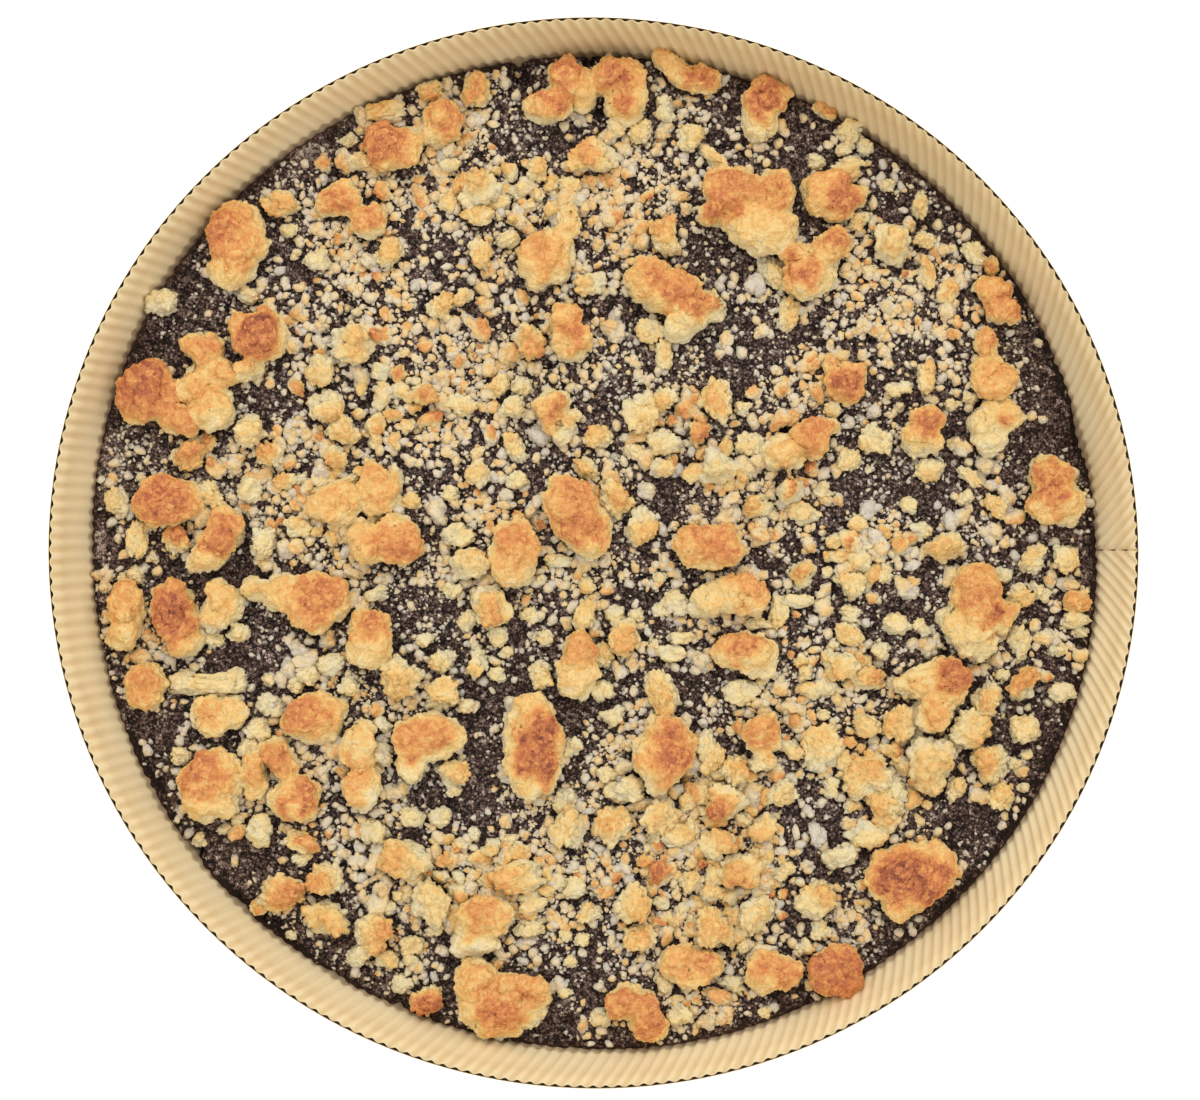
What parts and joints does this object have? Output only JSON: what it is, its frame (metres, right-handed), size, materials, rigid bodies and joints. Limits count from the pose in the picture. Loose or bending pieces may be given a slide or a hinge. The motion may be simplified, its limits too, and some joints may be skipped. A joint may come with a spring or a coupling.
{
  "type": "poppy seed cake",
  "caption": "Round poppy seed cake under lumps and crumbs of baked butter streusel, in the flaring corrugated paper case that it was baked in.",
  "frame": {"origin": "under the middle of the paper case, on the surface that it stands on", "axes": "+Z up; +X towards the seam in the case's wall; seen from above with +Y up, the streusel lies as in the picture"},
  "size_m": [0.2824, 0.2774, 0.046],
  "materials": {
    "brown_paper": "matt corrugated baking paper, flutes showing inside",
    "poppy_filling": "moist and grainy, dark grey with a purple cast",
    "baked_streusel": "dry and crumbly, pale butter yellow with golden to red-brown peaks"
  },
  "bodies": {
    "root": {"paper_case": "brown_paper", "poppy_cake": "poppy_filling", "streusel_01": "baked_streusel", "streusel_02": "baked_streusel", "streusel_03": "baked_streusel", "streusel_04": "baked_streusel", "streusel_05": "baked_streusel", "streusel_06": "baked_streusel", "streusel_07": "baked_streusel", "streusel_08": "baked_streusel", "streusel_09": "baked_streusel", "streusel_10": "baked_streusel", "streusel_11": "baked_streusel", "streusel_12": "baked_streusel", "streusel_13": "baked_streusel", "streusel_14": "baked_streusel", "streusel_15": "baked_streusel", "streusel_16": "baked_streusel", "streusel_17": "baked_streusel", "streusel_18": "baked_streusel", "streusel_19": "baked_streusel", "streusel_20": "baked_streusel", "streusel_21": "baked_streusel", "streusel_22": "baked_streusel", "streusel_23": "baked_streusel", "streusel_24": "baked_streusel", "streusel_25": "baked_streusel", "streusel_26": "baked_streusel", "streusel_27": "baked_streusel", "streusel_28": "baked_streusel", "streusel_29": "baked_streusel", "streusel_30": "baked_streusel", "streusel_31": "baked_streusel", "streusel_32": "baked_streusel", "streusel_33": "baked_streusel", "streusel_34": "baked_streusel", "streusel_35": "baked_streusel", "streusel_36": "baked_streusel", "streusel_37": "baked_streusel", "streusel_38": "baked_streusel", "streusel_39": "baked_streusel", "streusel_40": "baked_streusel", "streusel_41": "baked_streusel", "streusel_42": "baked_streusel", "streusel_43": "baked_streusel", "streusel_44": "baked_streusel", "streusel_45": "baked_streusel", "streusel_46": "baked_streusel", "streusel_47": "baked_streusel", "streusel_48": "baked_streusel", "streusel_49": "baked_streusel", "streusel_50": "baked_streusel", "streusel_51": "baked_streusel", "streusel_52": "baked_streusel", "streusel_53": "baked_streusel", "streusel_54": "baked_streusel", "streusel_55": "baked_streusel", "streusel_56": "baked_streusel", "streusel_57": "baked_streusel", "streusel_58": "baked_streusel"}
  },
  "joints": []
}
